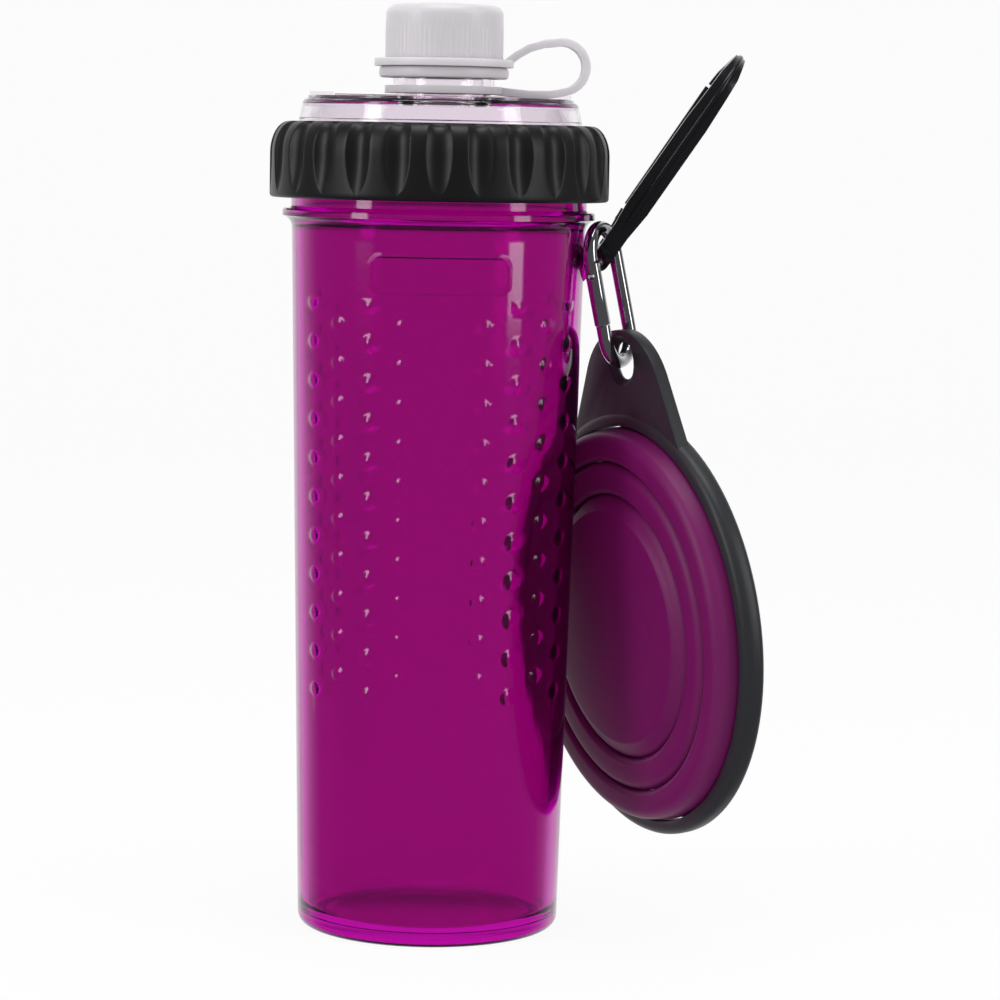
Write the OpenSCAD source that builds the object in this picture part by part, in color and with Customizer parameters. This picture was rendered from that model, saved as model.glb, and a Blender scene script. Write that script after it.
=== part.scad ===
// Dog travel water bottle with a screw collar, a clear lid with a capped spout
// and a fill door, and a collapsible bowl that hangs from a hinged carry clip.
// Millimetres. The bottle stands on z = 0 with its axis on the Z axis; the spout
// side faces -Y and the carry clip is on the +X side.

/* [Bottle] */
// Outer radius just above the heel
body_foot_r = 34.7; // [30:0.1:40]
// Outer radius under the flange
body_top_r = 38.6; // [36:0.1:39.2]
// Height at which the flange starts
body_h = 185.2; // [150:0.1:260]
// Wall thickness of body and neck
wall = 3.0; // [2:0.1:4]
// Thickness of the floor
floor_t = 3.4; // [2:0.1:5]
// Rounding of the heel
heel_r = 3.0; // [1:0.1:5]
// Outer radius of the drip flange
flange_r = 41.1; // [40:0.1:43]
// Outer radius of the neck
neck_r = 38.9; // [38:0.1:40]
// Height of the neck above the flange
neck_h = 18.0; // [14:0.1:24]

/* [Blank plate] */
// Width and height of the raised frame of the blank plate
plate_size = [36.8, 9.2];
// How far the frame stands out
plate_proud = 0.4; // [0.2:0.1:1]

/* [Screw collar] */
// Outer radius of the collar
collar_r = 44.55; // [44:0.05:48]
// Height of the collar
collar_h = 19.8; // [17:0.1:26]
// Gap between flange top and collar
collar_gap = 2.3; // [1:0.1:4]
// Number of finger flutes
flutes = 26; // [12:1:36]
// Depth of a flute
flute_depth = 1.5; // [0.5:0.1:1.8]
// Height and width of the collar's rounded shoulder
shoulder = [4.9, 8.2];

/* [Lid] */
// How far the lid, its spout and its door stand turned from the front
lid_turn = 3.3; // [-10:0.1:10]
// Outer radius of the lid wall where it leaves the collar
lid_r = 37.1; // [36.6:0.1:38]
// Height of the lid above the collar
lid_rise = 6.0; // [5:0.1:10]
// Wall of the lid
lid_wall = 2.6; // [1.5:0.1:3.5]
// Thickness of the lid deck
deck_t = 2.0; // [1.2:0.1:3]
// Radius of the raised disc on the deck, and of the door
disc_r = 34.8; // [32:0.1:35.2]
// Height of the raised disc, and thickness of the door
disc_t = 0.65; // [0.6:0.05:1.5]
// Distance of the door's hinge behind the bottle axis
door_hinge_y = 2.2; // [1.8:0.1:4]

/* [Spout and cap] */
// Distance of the spout from the bottle axis
spout_y = -17.5; // [-18:0.1:-16]
// Outer radius of the spout tube
spout_r = 12.2; // [10:0.1:12.6]
// Bore radius of the spout
spout_bore_r = 10.3; // [7:0.1:11]
// Outer radius of the cap
cap_r = 15.1; // [14.6:0.1:15.6]
// Height of the cap above its skirt
cap_h = 16.2; // [14:0.1:20]
// Radius of the cap skirt
skirt_r = 16.7; // [16:0.1:17]

/* [Strap] */
// Thickness of the strap band
strap_t = 2.0; // [1.2:0.1:2.2]
// Width of the strap band
strap_w = 6.5; // [4:0.1:8]
// Outer radius of the ring round the cap
cap_ring_r = 17.9; // [17.2:0.1:18.4]
// Outer radius of the ring round the spout
spout_ring_r = 15.2; // [14.4:0.1:16]

/* [Carry clip] */
// Angle of the clip above level
clip_angle = 56.3; // [40:0.1:68]
// Length from hinge to tip
clip_len = 64.9; // [50:0.1:80]
// Half width at the tip end
clip_tip_r = 13.5; // [12:0.1:15]
// Half width at the root end
clip_root_r = 10; // [9.4:0.1:10.6]
// Width of the frame's limbs
clip_limb = 4; // [3.2:0.1:4.4]
// Thickness of the clip at its middle
clip_t = 6.2; // [5:0.1:6.4]
// Radius of the hinge boss
boss_r = 2.4; // [2.2:0.05:2.6]
// Radius of the hinge pin
pin_r = 1.0; // [0.8:0.05:1.2]
// Half thickness of the lug on the bottle
lug_half = 2.8; // [2:0.1:3]

/* [Carabiner] */
// Radius of the rod
rod_r = 1.85; // [1.5:0.05:1.95]
// Radius of the gate tube
gate_r = 2.1; // [2:0.05:2.2]
// Radius of the centre line of both bends
bend_r = 7.5; // [7.2:0.1:8.5]
// Overall length of the carabiner
carabiner_len = 39.3; // [38:0.1:44]

/* [Bowl] */
// Outer radius of the rim
rim_r = 56.75; // [55:0.05:60]
// Thickness of the rim
rim_t = 6.0; // [5:0.1:7]
// Outer radius of the outer wall at the rim
bowl_wall_r = 53; // [52:0.1:54]
// Height of one wall stage above the rim when folded flat
stage_h = 5.6; // [5:0.1:6.5]
// Thickness of the silicone walls
silicone_t = 1.8; // [1.2:0.1:2.2]
// Radius of the hole in the hang tab
tab_hole_r = 5.0; // [4.6:0.1:5.4]
// Radius of the hang tab's round top
tab_r = 20.5; // [18:0.1:22]
// Thickness of the hang tab
tab_t = 3.4; // [3:0.1:3.6]
// Distance from the tab hole to the centre of the bowl
hang_len = 70.3; // [67:0.1:74]

/* [Hidden] */
$fn = 96;

// Running clearance of pins in their holes, and the gap between moving parts
pin_gap = 0.06;
gap = 0.3;

// Colours as the photo shows them
magenta = [0.56, 0.02, 0.45, 0.75];
magenta_matt = [0.48, 0.10, 0.42];
black_pp = [0.10, 0.10, 0.11];
clear_pc = [0.86, 0.84, 0.88, 0.5];
rose_pc = [0.85, 0.72, 0.84, 0.6];
milky = [0.83, 0.81, 0.84];
silicone_white = [0.90, 0.90, 0.90];
chrome = [0.78, 0.78, 0.80];
steel = [0.60, 0.60, 0.62];

// Levels up the bottle
flange_top = body_h + 4.9;
neck_low = flange_top + 0.6;
neck_top = neck_low + neck_h;
collar_low = flange_top + collar_gap + 0.5;
collar_top = collar_low + collar_h;
collar_lip_t = 1.5;
lid_flange_t = 1.4;
seal_t = 1.3;
lid_flange_top = collar_top - collar_lip_t - 0.15;
lid_flange_low = lid_flange_top - lid_flange_t;
seal_low = lid_flange_low - seal_t;
deck_top = collar_top + lid_rise;
disc_top = deck_top + disc_t;

// Radii inside the collar
thread_r = neck_r + 1.2;
collar_bore_r = thread_r + 0.6;
lid_flange_r = collar_bore_r - 0.3;
body_slope = (body_top_r - body_foot_r) / (body_h - heel_r);
function body_r_at(z) = body_foot_r + (z - heel_r) * body_slope;

// Levels of the spout, its rings and the cap
spout_ring_low = disc_top + 0.9;
spout_ring_t = 1.9;
collar_ring_low = spout_ring_low + spout_ring_t + 0.25;
collar_ring_t = 1.3;
skirt_low = collar_ring_low + collar_ring_t + 0.5;
skirt_t = 2.9;
cap_groove_low = skirt_low + skirt_t;
cap_ring_t = 2.0;
cap_top = cap_groove_low + cap_h;
cap_wall = 1.4;
cap_roof_t = 1.8;
spout_top = cap_top - cap_roof_t - 1.3;
spout_thread_r = cap_r - cap_wall - 0.35;

// Points along an arc, for outlines
function arc(c, r, a0, a1, n = 8) =
    [for (i = [0:n]) let (a = a0 + (a1 - a0) * i / n) c + r * [cos(a), sin(a)]];

// A tube between two heights
module ring(r_out, r_in, low, high) {
    difference() {
        translate([0, 0, low]) cylinder(r = r_out, h = high - low);
        translate([0, 0, low - 1]) cylinder(r = r_in, h = high - low + 2);
    }
}

// ---------------------------------------------------------------- bottle

// Places its children at the hinge of the carry clip, on the bottle's side
clip_pivot = [body_top_r + 3.7, 0, body_h - 7.8];

module bottle_turned() {
    rotate_extrude() polygon(concat(
        [[0, 1.2], [body_foot_r - heel_r - 5, 1.2], [body_foot_r - heel_r - 3.5, 0]],
        arc([body_foot_r - heel_r, heel_r], heel_r, -90, 0),
        [[body_top_r, body_h]],
        // the flange flares out in a hollow curve to a thin lip
        arc([flange_r + 0.9, body_h - 0.3], flange_r + 0.9 - body_top_r, 175, 100),
        [[flange_r, flange_top - 0.9], [flange_r, flange_top - 0.35],
         [flange_r - 0.5, flange_top], [neck_r + 0.4, flange_top], [neck_r, neck_low],
         [neck_r, seal_low - 0.6], [neck_r - 0.6, seal_low], [neck_r - wall, seal_low],
         [neck_r - wall, neck_low - 6],
         [body_top_r - wall, body_h - 6],
         [body_foot_r - wall, floor_t + 5]],
        arc([body_foot_r - wall - 3, floor_t + 3], 3, 0, -90),
        [[0, floor_t]]));
}

module neck_threads() {
    for (i = [0:2])
        translate([0, 0, neck_low + 5 + 4 * i]) rotate_extrude() polygon([
            [neck_r - 0.5, -1.2], [thread_r, -0.4], [thread_r, 0.4], [neck_r - 0.5, 1.2]]);
}

module plate_outline(size, r) {
    square([size.x - 2 * r, size.y], center = true);
    square([size.x, size.y - 2 * r], center = true);
    for (sx = [-1, 1], sy = [-1, 1])
        translate([sx * (size.x / 2 - r), sy * (size.y / 2 - r)]) circle(r = r, $fn = 24);
}

// Raised rounded frame on the front of the body; the place inside is bare
module blank_plate() {
    z = body_h - 10.8;
    intersection() {
        translate([0, 0, z]) rotate([90, 0, 0]) linear_extrude(60) difference() {
            plate_outline(plate_size, 3);
            plate_outline(plate_size - [2, 2], 2);
        }
        translate([0, 0, z - plate_size.y]) difference() {
            cylinder(r1 = body_r_at(z - plate_size.y) + plate_proud,
                     r2 = body_r_at(z + plate_size.y) + plate_proud, h = 2 * plate_size.y);
            translate([0, 0, -1])
                cylinder(r = min(body_foot_r, body_top_r) - wall / 2, h = 2 * plate_size.y + 2);
        }
    }
}

// Lug that carries the clip's hinge pin
module clip_lug() {
    difference() {
        union() {
            translate(clip_pivot) rotate([90, 0, 0])
                cylinder(r = boss_r, h = 2 * lug_half, center = true);
            translate([0, lug_half, 0]) rotate([90, 0, 0]) linear_extrude(2 * lug_half)
                polygon([[body_top_r - 1.2, clip_pivot.z - 6], [clip_pivot.x - 0.6, clip_pivot.z - boss_r + 0.1],
                         [clip_pivot.x - 0.6, clip_pivot.z + boss_r - 0.1],
                         [body_top_r - 1.2, clip_pivot.z + 4]]);
        }
        translate(clip_pivot) rotate([90, 0, 0])
            cylinder(r = pin_r + pin_gap, h = 4 * lug_half, center = true);
    }
}

module bottle_body() {
    color(magenta) {
        bottle_turned();
        neck_threads();
        blank_plate();
        clip_lug();
    }
}

module neck_seal() {
    color(silicone_white) ring(neck_r - 0.4, neck_r - wall + 0.3, seal_low, lid_flange_low);
}

// ---------------------------------------------------------------- lid

module lid_turned() {
    rotate_extrude() polygon(concat(
        [[lid_r - lid_wall, lid_flange_low], [lid_flange_r, lid_flange_low],
         [lid_flange_r, lid_flange_top], [lid_r, lid_flange_top], [lid_r, collar_top + 0.8],
         [lid_r - 0.8, deck_top - 1.8]],
        arc([lid_r - 2.4, deck_top - 1.6], 1.6, 5, 90),
        [[0, deck_top], [0, deck_top - deck_t],
         [lid_r - lid_wall - 0.8, deck_top - deck_t],
         [lid_r - lid_wall, collar_top + 0.5]]));
}

// Skirt that plugs into the bottle's neck
module lid_plug() {
    ring(neck_r - wall - 0.35, neck_r - wall - 2.4, lid_flange_low - 6, lid_flange_low + 0.1);
}

module half_disc(r, low, high, y_from) {
    intersection() {
        translate([0, 0, low]) cylinder(r = r, h = high - low);
        translate([-r - 1, y_from, low - 1]) cube([2 * r + 2, r * 2, high - low + 2]);
    }
}

// Size of the hinge along X: blocks at both ends, the door's barrel between them
block_w = 6.2;
block_h = 1.8;
hinge_z = deck_top + 0.4;
barrel_r = 1.0;

// Rim left round the fill opening: at the side, and behind the hinge
door_margin = 4;
door_front = 4.5;
// Widths of the door's ring and of the seal inside it
door_ring_w = 2.5;
door_seal_w = 2;

module door_opening() {
    intersection() {
        translate([0, 0, deck_top - deck_t - 1])
            cylinder(r = disc_r - door_margin, h = deck_t + 3);
        translate([-disc_r, door_hinge_y + door_front, deck_top - deck_t - 1])
            cube([2 * disc_r, disc_r, deck_t + 3]);
    }
}

module hinge_block(side) {
    x0 = side > 0 ? disc_r - block_w - 0.5 : -disc_r + 0.5;
    translate([x0, door_hinge_y - 1.7, deck_top - 0.1])
        cube([block_w, 3.4, disc_t + block_h - 0.5]);
}

module spout_tube() {
    translate([0, spout_y, 0]) {
        translate([0, 0, deck_top - 0.5]) cylinder(r = spout_r, h = spout_top - deck_top + 0.5);
        translate([0, 0, collar_ring_low]) cylinder(r = spout_r + 0.8, h = collar_ring_t);
        for (i = [0:2]) translate([0, 0, skirt_low + 4.5 + 3.2 * i]) rotate_extrude() polygon([
            [spout_r - 0.4, -0.9], [spout_thread_r, -0.3], [spout_thread_r, 0.3],
            [spout_r - 0.4, 0.9]]);
    }
}

module lid_shell() {
    color(clear_pc) rotate(lid_turn) difference() {
        union() {
            lid_turned();
            lid_plug();
            // raised half of the disc in front of the hinge
            mirror([0, 1, 0]) half_disc(disc_r, deck_top - 0.1, disc_top, -door_hinge_y + barrel_r + gap + 0.25);
            for (side = [-1, 1]) hinge_block(side);
            spout_tube();
        }
        door_opening();
        translate([0, spout_y, deck_top - deck_t - 1])
            cylinder(r = spout_bore_r, h = spout_top - deck_top + deck_t + 2);
        // hole of the hinge pin, and room for the door's barrel
        translate([-disc_r + 1.3, door_hinge_y, hinge_z]) rotate([0, 90, 0])
            cylinder(r = 0.5 + pin_gap, h = 2 * disc_r - 2.6, $fn = 32);
        translate([-disc_r + block_w + 0.5 + 0.01, door_hinge_y, hinge_z]) rotate([0, 90, 0])
            cylinder(r = barrel_r + gap, h = 2 * (disc_r - block_w - 0.5) - 0.02, $fn = 48);
    }
}

barrel_half = disc_r - block_w - 0.5 - gap;

module lid_door() {
    color(rose_pc) rotate(lid_turn) difference() {
        union() {
            half_disc(disc_r, deck_top + 0.06, disc_top + 0.05, door_hinge_y + 2.6);
            translate([-barrel_half, door_hinge_y, hinge_z]) rotate([0, 90, 0])
                cylinder(r = barrel_r, h = 2 * barrel_half, $fn = 48);
            translate([-barrel_half, door_hinge_y, deck_top + 0.3])
                cube([2 * barrel_half, 2.9, disc_t - 0.25]);
            // thumb lip at the back
            translate([0, disc_r - 0.6, deck_top + 0.06]) intersection() {
                cylinder(r = 5, h = disc_t);
                translate([-6, -3, -1]) cube([12, 5.4, 4]);
            }
            // ring that carries the seal
            difference() {
                intersection() {
                    translate([0, 0, deck_top - 1.6])
                        cylinder(r = disc_r - door_margin - gap, h = 1.8);
                    translate([-disc_r, door_hinge_y + door_front + gap, deck_top - 2])
                        cube([2 * disc_r, disc_r, 3]);
                }
                intersection() {
                    translate([0, 0, deck_top - 2.6])
                        cylinder(r = disc_r - door_margin - door_ring_w, h = 2.66);
                    translate([-disc_r, door_hinge_y + door_front + door_ring_w, deck_top - 2.6])
                        cube([2 * disc_r, disc_r, 2.66]);
                }
            }
        }
        translate([-disc_r, door_hinge_y, hinge_z]) rotate([0, 90, 0])
            cylinder(r = 0.5 + pin_gap, h = 2 * disc_r, $fn = 32);
    }
}

module door_hinge_pin() {
    color(steel) rotate(lid_turn) translate([-disc_r + 1.6, door_hinge_y, hinge_z])
        rotate([0, 90, 0]) cylinder(r = 0.5, h = 2 * disc_r - 3.2, $fn = 32);
}

// Silicone strip under the door, in the space inside its ring
module door_seal() {
    edge = door_ring_w + 0.1;
    color(silicone_white) rotate(lid_turn) difference() {
        intersection() {
            translate([0, 0, deck_top - 1.5])
                cylinder(r = disc_r - door_margin - edge, h = 1.5);
            translate([-disc_r, door_hinge_y + door_front + edge, deck_top - 2])
                cube([2 * disc_r, disc_r, 4]);
        }
        intersection() {
            translate([0, 0, deck_top - 2])
                cylinder(r = disc_r - door_margin - edge - door_seal_w, h = 3);
            translate([-disc_r, door_hinge_y + door_front + edge + door_seal_w, deck_top - 3])
                cube([2 * disc_r, disc_r, 5]);
        }
    }
}

// ---------------------------------------------------------------- collar

module screw_collar() {
    flute_r = 5.2;
    flute_start = -89.2;
    color(black_pp) difference() {
        rotate_extrude() polygon(concat(
            [[collar_bore_r, collar_low + 0.5], [collar_bore_r + 0.5, collar_low],
             [collar_r - 1.2, collar_low]],
            arc([collar_r - 1, collar_low + 1], 1, -90, 0, 4),
            // the shoulder is a quarter of an ellipse
            [for (a = [0:12:84]) [collar_r - shoulder.x * (1 - cos(a)),
                                  collar_top - shoulder.y * (1 - sin(a))]],
            [[collar_r - shoulder.x, collar_top], [lid_r + 0.25, collar_top],
             [lid_r + 0.25, collar_top - collar_lip_t],
             [collar_bore_r, collar_top - collar_lip_t]]));
        // finger flutes, deepest at the shoulder and running out above the lower edge
        for (i = [0:flutes - 1]) rotate([0, 0, flute_start + i * 360 / flutes])
            translate([collar_r + flute_r - flute_depth * 0.2, 0, collar_low + 1.2])
                rotate([0, -4.2, 0]) cylinder(r = flute_r, h = collar_h + 4, $fn = 48);
    }
}

// ---------------------------------------------------------------- cap and strap

module spout_cap() {
    color(milky) rotate(lid_turn) translate([0, spout_y, 0]) difference() {
        rotate_extrude() polygon(concat(
            [[0, cap_groove_low - 0.5], [cap_r - 0.2, cap_groove_low - 0.5], [skirt_r - 0.9, skirt_low]],
            arc([skirt_r - 0.9, skirt_low + 0.9], 0.9, -90, 0, 4),
            arc([skirt_r - 0.9, cap_groove_low - 0.9], 0.9, 0, 90, 4),
            [[cap_r, cap_groove_low], [cap_r, cap_groove_low + 4]],
            arc([cap_r - 2.8, cap_top - 2.5], 2.5, 4, 90, 8),
            [[0, cap_top]]));
        translate([0, 0, skirt_low - 2]) cylinder(r = cap_r - cap_wall, h = spout_top + 1.3 - skirt_low + 2);
        translate([0, 0, skirt_low - 1]) cylinder(r = spout_r + 0.8, h = 2);
    }
}

module cap_liner() {
    color(silicone_white) rotate(lid_turn) translate([0, spout_y, spout_top])
        cylinder(r = cap_r - cap_wall - 0.15, h = 1.3);
}

// Centre line of the strap's band seen from the front, from ring to ring
loop_r = 6.4;
loop_at = [spout_r + 18, cap_groove_low + 0.5];
strap_low = disc_top + strap_t / 2;
strap_path = concat(
    [[cap_ring_r - 2.2, cap_groove_low + 1.0], [cap_ring_r + 0.9, cap_groove_low + 3.4],
     [cap_ring_r + 4, cap_groove_low + 5.2], [loop_at.x - 4.4, loop_at.y + loop_r - 0.5]],
    arc(loop_at, loop_r, 105, -72, 15),
    [[loop_at.x - 0.6, strap_low + 0.55], [loop_at.x - 3.2, strap_low + 0.15],
     [loop_at.x - 8.2, strap_low + 0.1],
     [spout_ring_r - 2.2, spout_ring_low + strap_t / 2 - 0.05]]);

function unit(v) = v / norm(v);
function path_dir(p, i) = unit(p[min(i + 1, len(p) - 1)] - p[max(i - 1, 0)]);
function side_of(p, i, d) = p[i] + d * [-path_dir(p, i).y, path_dir(p, i).x];
function band_outline(p, t) = concat(
    [for (i = [0:len(p) - 1]) side_of(p, i, t / 2)],
    [for (i = [len(p) - 1:-1:0]) side_of(p, i, -t / 2)]);

module cap_strap() {
    color(milky) rotate(lid_turn) difference() {
        union() {
            translate([0, spout_y, 0]) {
                ring(cap_ring_r, cap_r + 0.25, cap_groove_low + 0.05, cap_groove_low + cap_ring_t);
                ring(spout_ring_r, spout_r + 0.25, spout_ring_low, spout_ring_low + spout_ring_t);
            }
            translate([0, spout_y + strap_w / 2, 0]) rotate([90, 0, 0])
                linear_extrude(strap_w) polygon(band_outline(strap_path, strap_t));
        }
        // the band stops where the rings begin
        translate([0, spout_y, cap_groove_low - 3]) cylinder(r = cap_r + 0.25, h = 9);
        translate([0, spout_y, spout_ring_low - 3]) cylinder(r = spout_r + 0.25, h = 6);
    }
}

// ---------------------------------------------------------------- carry clip

module at_clip() {
    translate(clip_pivot) rotate([0, -clip_angle, 0]) children();
}

tip_c = clip_len - clip_tip_r;
root_c = clip_root_r - boss_r;
// Outer face of the two ears on the hinge pin
ear_y = sqrt(pow(clip_root_r, 2) - pow(root_c, 2)) - 0.2;

// Outline of the clip seen square on, grown or shrunk by d
module clip_outline(d) {
    hull() {
        translate([root_c, 0]) circle(r = clip_root_r + d, $fn = 48);
        translate([tip_c, 0]) circle(r = clip_tip_r + d, $fn = 64);
    }
}

// Outline of the clip seen edge on
module clip_side(d = 0) {
    circle(r = boss_r + d, $fn = 48);
    polygon([[0, -boss_r], [9, -boss_r - d], [17, -clip_t / 2 - d], [tip_c - 8, -clip_t / 2 - d],
             [clip_len - 6, -clip_t / 2 + 0.7 - d], [clip_len, -1.3], [clip_len, 1.3],
             [clip_len - 6, clip_t / 2 - 0.7 + d], [tip_c - 8, clip_t / 2 + d], [17, clip_t / 2 + d],
             [9, boss_r + d], [0, boss_r]]);
}

// The gate lies in the far limb, between these two stations
gate_from = 15;
gate_to = 55;
gate_y = clip_tip_r - clip_limb / 2 - 0.5;
gate_half_t = 1.6;
spring_bore = 12;

module gate_space(extra) {
    translate([gate_from - extra, clip_root_r - clip_limb - 3, -clip_t])
        cube([gate_to - gate_from + 2 * extra, clip_limb + 9, 2 * clip_t]);
}

module clip_frame() {
    color(black_pp) at_clip() difference() {
        union() {
            intersection() {
                linear_extrude(2 * clip_t, center = true) difference() {
                    clip_outline(0);
                    clip_outline(-clip_limb);
                }
                rotate([90, 0, 0]) linear_extrude(4 * clip_tip_r, center = true) clip_side();
            }
            rotate([90, 0, 0]) cylinder(r = boss_r, h = 2 * ear_y, center = true);
            // bridge between the two ears
            translate([boss_r + gap, -ear_y, 0.9]) cube([1.3, 2 * ear_y, 1.5]);
        }
        gate_space(0);
        // slot for the lug, and the hinge pin's hole
        translate([-boss_r - 2, -lug_half - gap, -clip_t])
            cube([2 * boss_r + 2 + gap, 2 * (lug_half + gap), 2 * clip_t]);
        rotate([90, 0, 0]) cylinder(r = pin_r + pin_gap, h = 60, center = true);
        // fork for the gate's root, and its pin's hole
        translate([gate_from - 6, 0, -gate_half_t - gap])
            cube([7, 30, 2 * (gate_half_t + gap)]);
        translate([gate_from - 2.6, gate_axis_y, 0])
            cylinder(r = 0.75 + pin_gap, h = 2 * clip_t, center = true, $fn = 32);
        // notch for the gate's nose
        translate([gate_to - 1, 0, -1.2 - gap]) cube([3.6, 30, 2 * (1.2 + gap)]);
    }
}

// Middle of the far limb at the gate's pin and along the gate
function limb_y(u) = clip_root_r + (clip_tip_r - clip_root_r) * (u - root_c) / (tip_c - root_c)
    - clip_limb / 2;
gate_axis_y = limb_y(gate_from - 2.6);

module clip_gate() {
    y0 = limb_y(gate_from + 1);
    y1 = limb_y(gate_to - 1);
    color(black_pp) at_clip() difference() {
        union() {
            // flat tongue on the pin
            translate([gate_from - 2.6, gate_axis_y, 0])
                cylinder(r = 1.7, h = 2 * gate_half_t, center = true, $fn = 48);
            translate([gate_from - 2.6, gate_axis_y - 1.5, -gate_half_t])
                cube([4.6, 3.1, 2 * gate_half_t]);
            // bar
            linear_extrude(clip_t - 0.4, center = true) polygon([
                [gate_from + gap + 1.2, y0 - 1.9], [gate_to - gap - 0.6, y1 - 1.9],
                [gate_to - gap - 0.6, y1 + 1.5], [gate_from + gap + 1.2, y0 + 1.9]]);
            // nose
            translate([gate_to - 2, y1 - 1.4, -1.2]) cube([4, 2.4, 2.4]);
        }
        translate([gate_from - 2.6, gate_axis_y, 0])
            cylinder(r = 0.75 + pin_gap, h = 2 * clip_t, center = true, $fn = 32);
        // bore for the spring
        translate([gate_from + 0.9, gate_axis_y + 0.1, 0]) rotate([0, 90, 0])
            cylinder(r = 1.0, h = spring_bore, $fn = 32);
    }
}

module clip_gate_pin() {
    color(steel) at_clip() translate([gate_from - 2.6, gate_axis_y, 0])
        cylinder(r = 0.75, h = clip_t - 0.6, center = true, $fn = 32);
}

// A spring seen by nobody: its closed coil body
module clip_gate_spring() {
    color(steel) at_clip() translate([gate_from + 2.2, gate_axis_y + 0.1, 0])
        rotate([0, 90, 0]) difference() {
            cylinder(r = 0.85, h = spring_bore - 2, $fn = 32);
            translate([0, 0, -1]) cylinder(r = 0.5, h = spring_bore, $fn = 32);
        }
}

module clip_hinge_pin() {
    color(steel) translate(clip_pivot) rotate([90, 0, 0]) {
        cylinder(r = pin_r, h = 2 * ear_y - 0.2, center = true);
        translate([0, 0, ear_y + 0.35]) sphere(r = 0.9);
        translate([0, 0, ear_y - 0.3]) cylinder(r = pin_r, h = 1);
    }
}

module clip_pin_washer() {
    color(steel) translate(clip_pivot) rotate([-90, 0, 0])
        ring(1.9, pin_r + pin_gap, lug_half + 0.04, lug_half + gap - 0.04);
}

// ---------------------------------------------------------------- carabiner

carabiner_at = clip_pivot + [-0.2, -7.2, 7.0];
carabiner_turn = [-7.3, -11.8, 64];
top_c = rod_r - bend_r;
low_c = top_c + 2 * bend_r + 2 * rod_r - carabiner_len;
pivot_y = -7.2;
nose_y = -22.4;

// Places its children in the plane of the carabiner: Y runs up along the spine and
// X from the gate to the spine; the top bend hangs from the clip at the origin
module at_carabiner() {
    translate(carabiner_at) rotate(carabiner_turn) rotate([90, 0, 0]) children();
}

// A round bar along Y between two heights
module bar(x, low, high, r) {
    translate([x, low, 0]) rotate([-90, 0, 0]) cylinder(r = r, h = high - low, $fn = 48);
}

module carabiner_frame() {
    color(chrome) at_carabiner() difference() {
        union() {
            translate([0, top_c, 0]) rotate_extrude(angle = 180)
                translate([bend_r, 0]) circle(r = rod_r, $fn = 48);
            bar(bend_r, low_c, top_c, rod_r);
            translate([0, low_c, 0]) rotate([0, 0, 180]) rotate_extrude(angle = 180)
                translate([bend_r, 0]) circle(r = rod_r, $fn = 48);
            bar(-bend_r, low_c, nose_y, rod_r);
            bar(-bend_r, pivot_y - 1.3, top_c, rod_r);
        }
        // flats that leave a tongue for the gate's fork
        for (s = [-1, 1]) translate([-bend_r - 4, pivot_y - 3, s * 1.9 - 1]) cube([8, 5.2, 2]);
        translate([-bend_r, pivot_y, 0]) cylinder(r = 0.6 + pin_gap, h = 10, center = true, $fn = 32);
    }
}

module carabiner_gate() {
    color(chrome) at_carabiner() difference() {
        bar(-bend_r, nose_y + 0.25, pivot_y + 1.5, gate_r);
        // fork slot, rivet hole and spring bore
        translate([-bend_r - 4, pivot_y - 2.6, -0.9 - 0.12]) cube([8, 6, 2.04]);
        translate([-bend_r, pivot_y, 0]) cylinder(r = 0.6 + pin_gap, h = 10, center = true, $fn = 32);
        bar(-bend_r, pivot_y - 10, pivot_y - 2, 1.1);
    }
}

module carabiner_rivet() {
    color(steel) at_carabiner() translate([-bend_r, pivot_y, 0])
        cylinder(r = 0.6, h = 2 * gate_r - 0.3, center = true, $fn = 32);
}

// The closed coils of the gate's spring, inside its bore
module carabiner_spring() {
    color(steel) at_carabiner() difference() {
        bar(-bend_r, pivot_y - 9.5, pivot_y - 3, 0.95);
        bar(-bend_r, pivot_y - 11, pivot_y - 2, 0.6);
    }
}

// ---------------------------------------------------------------- bowl

bowl_at = clip_pivot + [7.7, -2.6, -25.8];
bowl_turn = [0, 5.2, 208];

// Places its children at the hole of the hang tab: Y runs up the tab, and Z points
// along the bowl's axis from the rim to the base, toward the bottle
module at_bowl() {
    translate(bowl_at) rotate(bowl_turn) rotate([90, 0, 90]) children();
}

module at_bowl_centre() {
    at_bowl() translate([0, -hang_len, 0]) children();
}

// Levels along the bowl's axis, folded flat
rim_top = rim_t / 2 - 0.6;
rim_low = rim_top - rim_t;
stage_top = rim_top + stage_h;
lip_low = rim_low - 0.8;
// Outer radii of the three stages; each slides through the mouth of the one outside it
middle_r = 44.0;
base_r = 35.4;
base_disc_r = base_r - 3.6;

// One stage: a short wall with a shoulder that runs inward to the next stage's mouth
module stage(r_low, r_high, mouth_r, low, high) {
    t = silicone_t;
    rotate_extrude() polygon(concat(
        [[r_low - t, low], [r_low, low]],
        arc([r_high - 3, high - 3.1], 3, 6, 84, 6),
        arc([mouth_r + 1.5, high - 1.6], 1.5, 84, 174, 5),
        [[mouth_r, high - t], [r_high - t, high - t]]));
}

// Lip at the free edge of a stage, that stops it in the mouth it slides through
module stage_lip(r, low) {
    ring(r + 1.6, r - 0.6, low, low + 1.2);
}

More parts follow.
